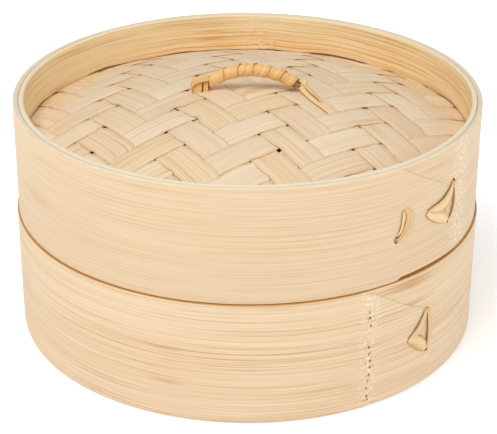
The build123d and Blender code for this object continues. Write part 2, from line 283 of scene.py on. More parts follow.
def hoop(name, outer, inner, low, high, lap, step, seed, corner=0.0006, low_corner=0.0006, inside=False,
         unround=0.0002, uneven=0.00015, rise=lambda angle: 0.0, climb=0.006, wall_rows=26):
    """A bent strip. lap gives its visible end as (share of height, degrees) from the top down.

    The strip starts just right of the lap, goes round to the right, and ends on the lap's left. step is
    its end's thickness at the top and at the bottom. inside puts the lap on the inner face."""
    before_lap, after_lap, pared = 18, 30, 38    # degrees either side of the lap, and of the thinned end
    quarter = [math.radians(a) for a in (0, 30, 60, 90)]
    shares = np.linspace(0, 1, wall_rows)
    # The section's points: nearness to the outer face, radial offset, share of height, rise, rim mask
    section = [(1, 0, s, low_corner * (1 - s) - corner * s, 0) for s in shares[1:-1]]
    section += [(1, -corner * (1 - math.cos(a)), 1, -corner * (1 - math.sin(a)), math.sin(a))
                for a in quarter]
    section += [(0.5, 0, 1, 0, 1)]
    section += [(0, corner * (1 - math.sin(a)), 1, -corner * (1 - math.cos(a)), math.cos(a))
                for a in quarter]
    section += [(0, 0, s, low_corner * (1 - s) - corner * s, 0) for s in shares[-2:0:-1]]
    section += [(0, low_corner * (1 - math.cos(a)), 0, low_corner * (1 - math.sin(a)), math.sin(a))
                for a in quarter]
    section += [(0.5, 0, 0, 0, 1)]
    section += [(1, -low_corner * (1 - math.sin(a)), 0, low_corner * (1 - math.cos(a)), math.cos(a))
                for a in quarter]
    section = np.array(section)
    heights, degrees = zip(*lap)
    end = np.interp(-section[:, 2], [-h for h in heights], degrees)
    first, last = min(degrees) - before_lap, max(degrees) + after_lap
    near, free = np.linspace(0, 1, 40) ** 1.5, np.linspace(0, 1, 160)[1:-1]
    columns = [end + 0.04 + f * (last - end) for f in near]
    columns += [np.full(len(end), last + f * (first + 360 - last)) for f in free]
    columns += [first + 360 + (1 - f) * (end - first) for f in near[::-1]]
    angle = np.array(columns)
    past = angle - end
    thick = np.interp(section[:, 2], [0, 0.62, 0.70, 1], [step[1], step[1], step[0], step[0]])
    drop = thick * (1 - ease(past / pared))
    turn = np.radians(angle)

    def round_wave(size, at):
        """Noise that meets itself again after one turn."""
        return np.array([[wave(size * math.cos(a), size * math.sin(a), at) for a in row] for row in turn])

    raised = np.array([[rise(math.degrees(a) % 360) for a in row] for row in turn])
    low_line = low + uneven * abs(round_wave(3, seed)) + raised
    high_line = high - uneven * abs(round_wave(2.5, seed + 9))
    outside = outer + unround * (round_wave(1.4, seed + 5) - 0.5) - (0 if inside else drop)
    within = inner + (drop if inside else 0)
    radius = within + (outside - within) * section[:, 0] + section[:, 1]
    z = low_line + (high_line - low_line) * section[:, 2] + section[:, 3]
    points = np.stack([radius * np.sin(turn), -radius * np.cos(turn), z], -1)
    # The fibre map runs along the strip and round its section
    along = np.radians(angle - np.mean(degrees)) * outer
    around = np.append(along, along[-1:] + 0.0004, 0)
    around = np.append(around, around[:, :1], 1)
    flat = np.stack([section[:, 0] * (outer - inner) + section[:, 1],
                     section[:, 2] * (high - low) + section[:, 3]], -1)
    girth = np.append(0, np.cumsum(np.hypot(*(np.roll(flat, -1, 0) - flat).T)))
    across = girth + climb * around / (2 * math.pi * outer)
    rim = np.broadcast_to(section[:, 4], radius.shape)
    return skin(name, points, np.stack([around, across], -1), rim, around=True)


inner_ply = 0.0023      # thickness of the inner bands
seat_play = 0.00005     # air between two bands, or between a band and the sheet
tier_low, tier_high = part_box("tier_outer_hoop")
tier_radius, tier_top = tier_high[0], tier_high[2]
tier_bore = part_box("tier_upper_inner_hoop")[1][0] + seat_play


def shaved_foot(angle):
    """The lower edge has a small chip where the joint of the cane crosses it."""
    return 0.0009 * math.exp(-((angle - 30.2) / 0.8) ** 2) + 0.0003 * math.exp(-((angle - 33) / 3) ** 2)


tier_outer = bamboo(
    "tier outer band", tone(237, 212, 177), tone(190, 138, 76), tone(231, 196, 140), tone(206, 152, 84),
    seed=3.0, vein_depth=0.40, amber_depth=0.40, lines=0.65, joint=0.6212, far_joint=0.31,
    pits=0.9)
tier_mesh = hoop("tier_outer_band", tier_radius, tier_bore, tier_low[2], tier_top,
                 [(1, 28.3), (0.88, 34.2), (0.75, 40.5), (0.66, 46.8), (0.5, 48.4), (0, 49.0)],
                 step=(0.00034, 0.00003), seed=1.0, corner=0.0003, low_corner=0.0018, rise=shaved_foot)
tier_band = fit_piece("tier_outer_band", tier_mesh, tier_outer, "tier", "outer_band", "tier_outer_hoop")


# ==== Tier, inner bands =====================================================================
# Two narrower strips bent inside the outer one. The upper one stands proud as a collar that
# centres the lid or the next tier, and the lower one carries the floor.

tier_inner = bamboo(
    "tier inner band", tone(240, 210, 160), tone(205, 152, 90), tone(232, 186, 122), tone(240, 218, 176),
    seed=21.0, vein_depth=0.6, amber_depth=0.7, joint=0.20, far_joint=0.48)
for name, node, way in (("tier_collar_band", "tier_upper_inner_hoop", 200),
                        ("tier_floor_band", "tier_lower_inner_hoop", 120)):
    low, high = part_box(node)
    mesh = hoop(name, high[0], high[0] - inner_ply, low[2], high[2],
                [(1, way), (0.6, way + 7), (0, way + 9)], step=(0.0005, 0.0003), seed=way / 10,
                inside=True, unround=0.0, uneven=0.0, wall_rows=14)
    fit_piece(name, mesh, tier_inner, "tier", "inner_band", node)


# ==== Tier, floor ===========================================================================
# Flat slats of split bamboo rest side by side on three cross ribs and on the lower band, with
# gaps between them for the steam. Each slat is a very little hollow across, like the stem's inside.

floor_slats = bamboo(
    "floor slat", tone(238, 212, 164), tone(206, 158, 98), tone(228, 186, 124), tone(214, 172, 112),
    seed=31.0, vein_depth=0.6, amber_depth=0.7, edge_amount=0.6)
floor_ribs = bamboo(
    "floor rib", tone(226, 192, 138), tone(186, 134, 76), tone(214, 166, 102), tone(226, 192, 138),
    seed=41.0, along="Y", vein_depth=0.7, fineness=0.8)


def soft_bar(name, low, high, reach, seed, corner=0.0004, bow=0.0):
    """A flat bar along X with rounded edges, its ends cut to the circle of radius reach.

    bow is how far its upper face dips in the middle."""
    half, thick = (high[1] - low[1]) / 2, high[2] - low[2]
    middle = (high[1] + low[1]) / 2
    section = []
    for side, level in ((-1, 0), (1, 0), (1, 1), (-1, 1)):
        for a in (0, 45, 90):
            a = math.radians(a if side * (level * 2 - 1) > 0 else 90 - a)
            y = side * (half - corner * (1 - math.sin(a)))
            z = level * thick - (level * 2 - 1) * corner * (1 - math.cos(a))
            section.append((y, z, 1.0))
        if side * (1 - 2 * level) < 0:
            section += [(-side * half * s, level * thick, 0.0) for s in (0.8, 0.4, 0, -0.4, -0.8)]
    section = np.array(section)
    y = middle + section[:, 0]
    ends = np.sqrt(np.maximum(reach**2 - y**2, 0.002**2))
    shares = np.linspace(-1, 1, 60)[:, None]
    x = shares * ends
    sway = np.array([[0.00025 * wave(14 * v, seed) for v in row] for row in x])
    crown = bow * (1 - (section[:, 0] / half) ** 2) * (section[:, 1] > thick / 2)
    z = low[2] + section[:, 1] - crown + 0 * x
    points = np.stack([x, y + sway, z], -1)
    girth = np.append(0, np.cumsum(np.hypot(*(np.roll(section, -1, 0) - section)[:, :2].T)))
    fibre = np.stack([np.append(x, x[-1:], 0)[:, np.append(np.arange(x.shape[1]), 0)] + seed * 0.37,
                      np.broadcast_to(girth + seed * 0.11, (61, len(girth)))], -1)
    return skin(name, points, fibre, np.broadcast_to(section[:, 2], x.shape), capped=True)


slat_nodes = sorted(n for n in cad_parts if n.startswith("floor_slat"))
floor_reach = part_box("floor_rib_2")[1][1]
for count, node in enumerate(slat_nodes):
    name = node.replace("floor_", "steam_")
    low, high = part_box(node)
    mesh = soft_bar(name, low, high, floor_reach, count + 1.0, bow=0.0001)
    fit_piece(name, mesh, floor_slats, "tier", "floor_bamboo", node)
for node in sorted(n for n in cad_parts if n.startswith("floor_rib")):
    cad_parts[node].data.materials.clear()
    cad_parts[node].data.materials.append(floor_ribs)


# ==== Tier, cane tie ========================================================================
# A split cane threaded through two holes, over both turns of the band, and folded into a
# triangle that holds the lap shut. Its ends are bent over inside. The skin side faces out.

def smooth(keys, count):
    """A smooth line through its key points, in even steps."""
    keys = np.array(keys, float)
    padded = np.vstack([2 * keys[0] - keys[1], keys, 2 * keys[-1] - keys[-2]])
    place_along = np.linspace(0, len(keys) - 1.000001, count)
    k = place_along.astype(int)
    t = (place_along - k)[:, None]
    a, b, c, d = (padded[k + n] for n in range(4))
    return 0.5 * (2 * b + (c - a) * t + (2 * a - 5 * b + 4 * c - d) * t**2 + (3 * b - 3 * c + d - a) * t**3)


def cane_strip(path, out, width, thick, seed, square=0.42, crown=0.0):
    """A split of cane along a path, with its skin side towards out, cut square at both ends."""
    ahead = np.gradient(path, axis=0)
    ahead /= np.linalg.norm(ahead, axis=1, keepdims=True)
    side = np.cross(ahead, out)
    side /= np.linalg.norm(side, axis=1, keepdims=True)
    face = np.cross(side, ahead)
    turn = np.linspace(0, 2 * math.pi, 18, endpoint=False)
    flat = np.sign(np.cos(turn)) * abs(np.cos(turn)) ** square
    deep = np.sign(np.sin(turn)) * abs(np.sin(turn)) ** square
    length = np.append(0, np.cumsum(np.linalg.norm(np.diff(path, axis=0), axis=1)))
    ragged = np.array([[1 + 0.10 * wave(300 * s, seed + (30 if f > 0 else 0)) for f in flat]
                       for s in length])
    across = flat * width[:, None] / 2 * ragged
    rise = deep * thick / 2 + crown * (1 - flat**2)
    points = path[:, None] + side[:, None] * across[..., None] + face[:, None] * np.broadcast_to(
        rise, across.shape)[..., None]
    girth = np.append(turn, 2 * math.pi) / (2 * math.pi) * (2 * width.mean() + 2 * np.mean(thick))
    long = np.append(length, length[-1] + 0.001) + seed * 0.31
    fibre = np.stack(np.broadcast_arrays(long[:, None], girth + seed * 0.07), -1)
    return skin("cane", points, fibre, np.broadcast_to(abs(flat) ** 6, across.shape), capped=True)


def joined(meshes):
    """Several meshes as one."""
    objects = [bpy.data.objects.new("part", mesh) for mesh in meshes]
    for made in objects:
        bpy.context.scene.collection.objects.link(made)
    with bpy.context.temp_override(active_object=objects[0], selected_editable_objects=objects):
        bpy.ops.object.join()
    mesh = objects[0].data
    bpy.data.objects.remove(objects[0])
    return mesh


def wall_strip(keys, radius, seed, facing=1, thick=0.0006, count=40):
    """Cane lying on a wall. Each key is an azimuth in degrees, then a height, a lift and a width in mm."""
    line = smooth(keys, count)
    turn, reach = np.radians(line[:, 0]), radius + facing * line[:, 2] / 1000
    away = np.stack([np.sin(turn), -np.cos(turn), 0 * turn], -1)
    path = away * reach[:, None]
    path[:, 2] = line[:, 1] / 1000
    return cane_strip(path, away * facing, line[:, 3] / 1000, thick, seed)


def bent_ends(holes, radius, seed):
    """The ends of a tie, turned over on a wall's inner face."""
    return [wall_strip([(a - 0.9, z, -1.2, 1.6), (a - 0.6, z, 0.1, 1.9), (a + 0.6, z + 0.3, 0.55, 2.2),
                        (a + 2.2, z + 0.5, 0.4, 2.0)], radius, seed + n, facing=-1, count=14)
            for n, (a, z) in enumerate(holes)]


def pierce(band, holes, radius, shade_material):
    """Opens holes in a band: each is an azimuth in degrees, a height, a width and a length upward in mm."""
    pegs = []
    turn = np.linspace(0, 2 * math.pi, 14, endpoint=False)
    for azimuth, height, wide, tall in holes:
        phi = math.radians(azimuth)
        away = Vector((math.sin(phi), -math.cos(phi), 0))
        along = Vector((math.cos(phi), math.sin(phi), 0))
        rings = [[away * (radius + depth) + along * (wide / 2000 * math.cos(t)) +
                  Vector((0, 0, height / 1000 + tall / 2000 * math.sin(t))) for t in turn]
                 for depth in (0.0015, -0.0020)]
        fibre = np.random.default_rng(4).random((3, len(turn) + 1, 2)) * 0.01
        pegs.append(skin("peg", np.array(rings), fibre, np.zeros((2, len(turn))), capped=True))
    cutter = bpy.data.objects.new("cutter", joined(pegs))
    # The holes' cut walls take the cutter's dark brown, painted shade for the dark inside the holes
    cutter.data.materials.append(shade_material)
    bpy.context.scene.collection.objects.link(cutter)
    cut = band.modifiers.new("holes", "BOOLEAN")
    cut.operation, cut.solver, cut.object, cut.material_mode = "DIFFERENCE", "EXACT", cutter, "TRANSFER"
    bpy.context.view_layer.update()
    whole = bpy.data.meshes.new_from_object(band.evaluated_get(bpy.context.evaluated_depsgraph_get()))
    band.modifiers.clear()
    band.data = whole
    bpy.data.objects.remove(cutter)


# The dark brown edge tone is painted shade along the outlines of the ties
split_cane = bamboo(
    "split cane", tone(238, 207, 157), tone(188, 130, 68), tone(228, 180, 112), tone(156, 98, 44),
    seed=81.0, vein_depth=0.55, amber_depth=0.6, lines=0.6, fineness=1.2, edge_amount=0.7, shine=0.4)
# A dark brown for the holes' walls: painted shade inside the holes
painted_hole_shade = bamboo(
    "cane hole painted shade", tone(92, 60, 34), tone(44, 26, 14), tone(70, 42, 22), tone(60, 36, 18),
    seed=82.0, vein_depth=0.8, edge_amount=0.4)
tier_holes = [(46.9, 35.6, 3.4, 1.8), (47.6, 16.2, 2.2, 2.2)]
tier_tie = [
    wall_strip([(46.6, 36.2, -1.5, 1.4), (46.2, 35.0, 0.19, 1.9), (45.5, 31.8, 0.43, 3.4),
                (44.3, 28.6, 0.5, 4.4), (42.2, 26.2, 0.31, 3.0), (41.0, 25.0, 0.19, 2.4)],
               tier_radius, 1.0),
    wall_strip([(40.8, 25.2, 0.22, 2.4), (42.5, 24.0, 0.43, 5.0), (44.9, 20.8, 0.5, 5.8),
                (46.4, 17.9, 0.31, 4.2), (47.2, 16.2, -0.2, 2.2), (47.6, 15.6, -1.5, 1.6)],
               tier_radius, 2.0),
    wall_strip([(47.2, 36.1, -1.4, 1.5), (47.4, 34.4, 0.31, 2.0), (47.9, 29.5, 0.56, 2.6),
                (48.1, 24.0, 0.62, 2.8), (47.9, 19.6, 0.5, 2.4), (47.5, 16.8, 0.06, 1.9),
                (47.5, 15.4, -1.5, 1.5)], tier_radius, 3.0),
]
tier_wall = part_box("tier_upper_inner_hoop")[1][0] - inner_ply
tier_tie += bent_ends([(46.9, 35.6), (47.6, 17.2)], tier_wall, 4.0)
fit_piece("tier_cane_lashing", joined(tier_tie), split_cane, "tier", "split_cane", "tier_cane_triangle")
pierce(tier_band, tier_holes, tier_radius, painted_hole_shade)


# ==== Lid, outer band =======================================================================
# The same kind of strip as the tier's, a little narrower, with its slanted end held by two ties.
# The skin side of the stem is outward, so the fibres are finer and paler.

def lid_foot(angle):
    """Past the end of the outer turn the lower edge stands a little higher."""
    if not 30 < angle < 80:
        return 0.0
    return 0.0010 * ease((angle - 36.6) / 0.7) * (1 - ease((angle - 42) / 22))


lid_low, lid_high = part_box("lid_outer_hoop")
lid_radius, rim_top = lid_high[0], lid_high[2]
lid_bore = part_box("lid_rim_hoop")[1][0] + seat_play
# The edge tone, paler than the face, is painted highlight along the rounded top of the rim; the lower edge
# takes the same pale tone
lid_outer = bamboo(
    "lid outer band", tone(228, 202, 167), tone(194, 150, 96), tone(222, 191, 142), tone(236, 221, 193),
    seed=5.0, vein_depth=0.36, amber_depth=0.35, lines=0.32, joint=0.0195, far_joint=0.34, spread=0.012)
lid_mesh = hoop("lid_outer_band", lid_radius, lid_bore, lid_low[2], rim_top,
                [(1, 36.8), (0.9, 41.0), (0.7, 51.5), (0.62, 54.2), (0.3, 55.0), (0, 55.4)],
                step=(0.00034, 0.00003), seed=2.0, corner=0.0007, low_corner=0.0003, rise=lid_foot)
lid_band = fit_piece("lid_outer_band", lid_mesh, lid_outer, "lid", "outer_band", "lid_outer_hoop")


# ==== Lid, inner bands ======================================================================
# A rim band above the woven sheet and a clamping band below it hold the sheet's edge between them. They show
# the inner face of the stem, which is coarser and a warmer, deeper yellow. The strength of that bright
# yellow is partly the face's own tone and partly painted light, standing for the warm glow the inner walls
# throw on one another.

# The pale edge tone is painted highlight along the top of the rim band
lid_inner = bamboo(
    "lid inner band", tone(255, 236, 190), tone(206, 138, 66), tone(250, 206, 138), tone(246, 232, 204),
    seed=12.0, vein_depth=0.55, amber_depth=0.95, lines=0.75, joint=0.3336, far_joint=0.62, spread=0.018)
rim_low, rim_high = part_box("lid_rim_hoop")
rim_inner = rim_high[0] - inner_ply


def rim_gap(angle):
    """Here and there the band's lower edge stands off the sheet."""
    turn = math.radians(angle)
    return 0.0016 * max(0.0, wave(5 * math.cos(turn), 5 * math.sin(turn), 8.0))


mesh = hoop("lid_rim_band", rim_high[0], rim_inner, rim_low[2], rim_high[2],
            [(1, -22), (0.4, -14), (0, -12)], step=(0.0005, 0.0002), seed=4.0, corner=0.0007,
            low_corner=0.0004, inside=True, unround=0.0, uneven=0.0003, rise=rim_gap, wall_rows=16)
fit_piece("lid_rim_band", mesh, lid_inner, "lid", "inner_band", "lid_rim_hoop")
low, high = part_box("lid_lower_inner_hoop")
mesh = hoop("lid_clamp_band", high[0], high[0] - inner_ply, low[2], high[2],
            [(1, 160), (0.4, 168), (0, 170)], step=(0.0005, 0.0002), seed=6.0, inside=True, unround=0.0,
            uneven=0.0, wall_rows=14)
fit_piece("lid_clamp_band", mesh, lid_inner, "lid", "inner_band", "lid_lower_inner_hoop")


# ==== Lid, cane ties ========================================================================
# Two more splits of the same cane: a triangle over the end of the lap, and a narrow loop that
# holds the turns together further round. Both stand off the wall where the cane springs back.

triangle = [
    wall_strip([(56.0, 88.7, -1.6, 1.5), (55.6, 87.8, -0.2, 1.9), (54.3, 85.0, 0.31, 4.2),
                (52.5, 82.3, 0.5, 5.8), (49.8, 81.0, 0.5, 5.0), (47.0, 81.0, 0.37, 3.6),
                (45.3, 80.9, 0.19, 2.4)], lid_radius, 11.0),
    wall_strip([(45.1, 81.0, 0.25, 2.4), (46.9, 79.0, 0.43, 4.4), (50.2, 76.6, 0.5, 6.2),
                (52.4, 74.2, 0.37, 4.8), (53.4, 72.3, 0.12, 2.6), (54.0, 71.6, -1.4, 1.8)],
               lid_radius, 12.0),
    wall_strip([(56.0, 88.6, -1.4, 1.5), (55.9, 86.9, 0.31, 1.9), (56.3, 83.5, 0.56, 2.0),
                (56.3, 79.0, 0.62, 2.0), (55.7, 75.0, 0.5, 1.9), (54.6, 72.3, 0.12, 1.7),
                (54.2, 71.4, -1.4, 1.6)], lid_radius, 13.0),
]
oval = [
    wall_strip([(37.4, 86.6, -1.4, 1.8), (38.4, 85.8, 0.12, 2.4), (38.9, 83.4, 0.62, 3.8),
                (38.7, 80.0, 0.81, 4.6), (37.9, 76.8, 0.62, 4.2), (36.6, 74.2, 0.19, 2.8),
                (35.6, 73.4, -1.4, 2.0)], lid_radius, 14.0),
    wall_strip([(37.4, 86.4, -1.2, 1.4), (37.4, 84.8, 0.19, 1.8), (37.3, 80.6, 0.25, 2.2),
                (36.6, 77.4, 0.25, 1.9), (35.8, 74.8, -1.2, 1.3)], lid_radius, 15.0),
]
triangle += bent_ends([(55.4, 89.6), (53.8, 72.4)], rim_inner, 16.0)
oval += bent_ends([(37.0, 77.0), (35.2, 73.6)], rim_inner, 18.0)
fit_piece("lid_cane_lashing", joined(triangle), split_cane, "lid", "split_cane", "lid_cane_triangle")
fit_piece("lid_cane_loop", joined(oval), split_cane, "lid", "split_cane", "lid_cane_oval")
lid_holes = [(56.0, 88.2, 2.6, 2.4), (54.0, 72.0, 2.2, 2.2), (37.6, 86.0, 2.6, 1.8), (35.7, 74.3, 2.2, 3.4)]
pierce(lid_band, lid_holes, lid_radius, painted_hole_shade)


# ==== Lid, woven sheet ======================================================================
# Thin flat strips of split bamboo woven over two and under two, so that the floats step across
# in a slanting twill. The sheet is sprung into a low dome and held at its edge by the bands.

lay = math.radians(35.9)            # the long strips, from +X
crossing = (-0.0300, -0.0173)       # one crossing of the weave
long_pitch, cross_pitch = 0.0133, 0.0142
strip_thick = 0.00042
sheet_edge = rim_low[2] - seat_play
crown = rim_top
fall = (crown - sheet_edge) / (rim_inner**2)
sheet_reach = rim_high[0] - 0.0003
start_u = crossing[0] * math.cos(lay) + crossing[1] * math.sin(lay)
start_v = -crossing[0] * math.sin(lay) + crossing[1] * math.cos(lay)


def goes_over(column, row):
    """Whether the long strip of a row lies on top in a column of the weave."""
    return (column - row - 1) % 4 > 1


def float_height(places, pitch, start, over):
    """The upper face's height along a strip, from the dome's: flat floats that dive at their ends."""
    height = np.zeros_like(places)
    cell = np.floor((places - start) / pitch).astype(int)
    up = np.vectorize(over)(cell)
    left, right = places - start - cell * pitch, (cell + 1) * pitch + start - places
    before, after = np.vectorize(over)(cell - 1), np.vectorize(over)(cell + 1)
    dive, arch, sag, settle = 0.0042, 0.00012, 0.00016, 0.0015
    sink = np.where(before, 0, 1 - ease(left / dive)) + np.where(after, 0, 1 - ease(right / dive))
    on_top = -strip_thick * 1.02 * sink
    run = np.where(before, left + pitch, left) / np.where(before | after, 2 * pitch, pitch)
    on_top += arch * np.sin(np.pi * np.clip(run, 0, 1))
    deep = np.minimum(left, right)
    beneath = -strip_thick * 1.02 - sag * ease(deep / settle)
    return np.where(up, on_top, beneath)


def corner_gap(knot, line):
    """How far a strip's edge draws in at one crossing's corner."""
    return 0.00045 + 0.00200 * max(0.0, wave(knot * 1.7, line * 400) - 0.05)


def woven_strip(name, near, far, pitch, start, over, turn, seed, reach=sheet_reach, crown=crown,
                thick=strip_thick):
    """One strip between two lines across the weave, following the dome and the crossings."""
    count = 9       # points across the strip
    middle = count // 2
    share = np.linspace(0, 1, count)
    limit = reach - 0.0004
    y = np.clip(near + (far - near) * share, -limit, limit)
    ends = np.sqrt(reach**2 - y**2)
    steps = max(12, int(2 * ends.max() / 0.0011))
    x = np.linspace(-1, 1, steps)[:, None] * ends
    # The edges draw in at each crossing's corner, some more than others, and leave a small hole there
    knots = np.round((x[:, middle] - start) / pitch)
    from_knot = (x[:, middle] - start - knots * pitch) / 0.0024
    gaps = np.array([[corner_gap(k, near), corner_gap(k, far)] for k in knots])
    drawn = np.exp(-from_knot**2)[:, None] * gaps
    wobble = np.array([[0.00010 * wave(22 * a, seed), 0.00010 * wave(22 * a, seed + 40)]
                       for a in x[:, middle]])
    y = y + (wobble[:, :1] + drawn[:, :1]) * (1 - share) + (wobble[:, 1:] - drawn[:, 1:]) * share
    top = float_height(x, pitch, start, over)
    tilt = np.array([0.00008 * wave(30 * a, seed + 80) for a in x[:, middle]])[:, None] * (share * 2 - 1)
    dome = crown - fall * (x**2 + y**2)
    flat = 0.00006 * (1 - (2 * share - 1) ** 2)
    top = dome + top + tilt + flat
    upper = np.stack([x, y, top], -1)
    lower = np.stack([x, y, top - thick], -1)[:, ::-1]
    # A narrow pared corner runs along both edges
    lip = 0.00007
    edge = upper.copy()[:, [0, -1]]
    upper[:, 0, 1] += lip
    upper[:, -1, 1] -= lip
    edge[..., 2] -= lip * 0.8
    points = np.concatenate([upper, edge[:, 1:], lower, edge[:, :1]], 1)
    spun = points.copy()
    spun[..., 0] = points[..., 0] * math.cos(turn) - points[..., 1] * math.sin(turn)
    spun[..., 1] = points[..., 0] * math.sin(turn) + points[..., 1] * math.cos(turn)
    girth = np.append(0, np.cumsum(np.linalg.norm(np.diff(points[steps // 2], axis=0), axis=-1)))
    girth = np.append(girth, girth[-1] + lip)
    long = np.append(x[:, middle], x[-1, middle])
    fibre = np.stack(np.broadcast_arrays(long[:, None] + seed * 0.53, girth + seed * 0.071), -1)
    # The rim mask marks the strip's edges and side faces, which the finish paints browner as painted shade
    rim = np.zeros(points.shape[:2])
    rim[:, [0, count - 1]] = 0.75
    rim[:, [count, -1]] = 1.0
    rim[:, [count + 1, -2]] = 1.0
    return skin(name, spun, fibre, rim, capped=True)


def strip_finish(name, pale, vein, amber, seed, vein_depth):
    """One of the strips' shades. They share their edge colour, a browner painted shade along each strip's
    outline, and their depth of grain.
    """
    return bamboo(name, pale, vein, amber, tone(222, 180, 124), seed=seed, vein_depth=vein_depth,
                  amber_depth=0.4, lines=0.55, fineness=1.0, edge_amount=0.35, relief=0.3, shine=0.3)


strip_finishes = [
    strip_finish("strip beige", tone(247, 224, 192), tone(208, 164, 110), tone(242, 212, 168), 51.0, 0.45),
    strip_finish("strip straw", tone(246, 222, 184), tone(206, 160, 100), tone(240, 207, 152), 52.0, 0.45),
    strip_finish("strip pale", tone(249, 229, 199), tone(216, 176, 126), tone(244, 217, 175), 53.0, 0.40),
    strip_finish("strip rosy", tone(245, 220, 188), tone(206, 160, 108), tone(240, 206, 162), 54.0, 0.45),
]
dice = random.Random(8)


def lay_strips(kind, first, pitch, begin, crossed_pitch, crossed_start, over, turn, seed, shades):
    """All the strips of one direction. over says whether a line lies on top of one it crosses."""
    nodes = sorted(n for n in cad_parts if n.startswith(kind))
    for count, node in enumerate(nodes):
        line = count + first
        gap = dice.uniform(0.0, 0.00010)
        shift = dice.uniform(-0.00005, 0.00005)
        near = line * pitch + begin + gap / 2 + shift
        far = (line + 1) * pitch + begin - gap / 2 + shift
        mesh = woven_strip("woven_" + node, near, far, crossed_pitch, crossed_start,
                           lambda crossed: over(line, crossed), turn, count + seed)
        finish = strip_finishes[dice.choice(shades)]
        fit_piece("woven_" + node, mesh, finish, "lid", "woven_strip", node)


lay_strips("long_strip", -8, long_pitch, start_v, cross_pitch, start_u,
           lambda row, column: goes_over(column, row), lay, 1.0, (0, 0, 1, 2, 2, 3))
# Seen along itself, a cross strip counts the rows from the other side
lay_strips("cross_strip", -5, cross_pitch, start_u, long_pitch, -start_v,
           lambda column, row: not goes_over(column, -row - 1), lay - math.pi / 2, 31.0, (0, 1, 1, 2, 3, 3))


# ==== Lid, inner layer and battens ==========================================================
# Under the sheet lies a coarse plain weave of wider, rougher strips, coloured a dark brown that is painted
# shade, for the dark seen through the holes and gaps of the sheet above. Two split bars cross below it and
# carry the handle's ties.

# Dark brown: painted shade seen through the woven sheet
liner_painted_shade = bamboo(
    "liner strip painted shade", tone(136, 96, 56), tone(84, 54, 28), tone(112, 76, 40), tone(90, 58, 30),
    seed=61.0, vein_depth=0.7, amber_depth=0.7, fineness=0.7)
liner_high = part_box("lid_liner")[1]
coarse, coarse_gap = 0.0200, 0.0006     # pitch, and half the air between two strips


def coarse_layer():
    """Both directions of the liner's plain weave, joined as one mesh."""
    parts = []
    for turn in (0.0, -math.pi / 2):
        for lane in range(-5, 5):
            near, far = lane * coarse + coarse_gap, (lane + 1) * coarse - coarse_gap
            way = 1 if turn == 0 else -1
            parts.append(woven_strip("coarse", near, far, coarse, 0.0,
                                     lambda cell: (cell + way * lane) % 2 == 0,
                                     turn + lay - 0.5, lane + 70.0 + turn, reach=liner_high[0] - 0.0002,
                                     crown=liner_high[2] - 0.0004, thick=0.0005))
    return joined(parts)


fit_piece("lid_coarse_layer", coarse_layer(), liner_painted_shade, "lid", "liner", "lid_liner")
for node, way in (("lid_batten_along", "X"), ("lid_batten_across", "Y")):
    batten = bamboo("batten " + way, tone(228, 194, 140), tone(186, 134, 76), tone(214, 166, 102),
                    tone(228, 194, 140), seed=71.0, along=way, vein_depth=0.7, fineness=0.8)
    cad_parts[node].data.materials.clear()
    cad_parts[node].data.materials.append(batten)


# ==== Handle, core and wrapping =============================================================
# A length of round cane bent to a low arch, with its ends turned out as pegs. A wide ribbon of
# cane is wound round it in fat overlapping turns, and cut off thin at both feet. A thin split
# of the same cane lies slantwise over the ribbon near the right foot.

def arch_point(share):
    """Where the arch runs: its centre line and its outward direction, for shares from 0 to 1."""
    half = math.degrees(math.asin(arch_span / 2 / arch_bend))
    turn = np.radians(np.interp(share, [0, 1], [-half, half])) + arch_lean * (1 - share)
    outward = np.stack([np.sin(turn), 0 * turn, np.cos(turn)], -1)
    return arch_middle + outward * arch_bend, outward


core_low, core_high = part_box("handle_core")
core_radius = (core_high[1] - core_low[1]) / 2
arch_span, arch_rise = 0.0394, 0.0070
arch_bend = (arch_span**2 / 4 + arch_rise**2) / (2 * arch_rise)
arch_lean = 0.02
arch_middle = np.array([(core_low[0] + core_high[0]) / 2, 0,
                        core_high[2] - core_radius - arch_bend - 0.0004])
bend = arch_point(np.linspace(0, 1, 30))[0]
peg_height = core_low[2] + core_radius
pegs = [(core_low[0], 0, peg_height), (core_low[0] + 0.003, 0, peg_height)]
line = smooth(pegs + [tuple(p) for p in bend[2:-2:5]] + [(core_high[0] - 0.004, 0, peg_height),
                                                        (core_high[0] - 0.001, 0, peg_height)], 70)
line[:, 1] += [0.0002 * wave(90 * x, 3.0) for x in line[:, 0]]
girth = np.interp(abs(line[:, 0] - arch_middle[0]),
                  [arch_span / 2 - 0.002, arch_span / 2 + 0.001], [0.0034, 0.0025])
rod = cane_strip(line, np.tile([0.0, 1.0, 0.2], (70, 1)), girth, girth[:, None], 21.0, square=1.0)
core_finish = bamboo(
    "handle cane", tone(206, 150, 84), tone(136, 86, 40), tone(180, 118, 58), tone(120, 74, 34),
    seed=91.0, vein_depth=0.7, amber_depth=0.7, lines=0.6)
fit_piece("handle_cane_rod", rod, core_finish, "handle", "cane", "handle_core")

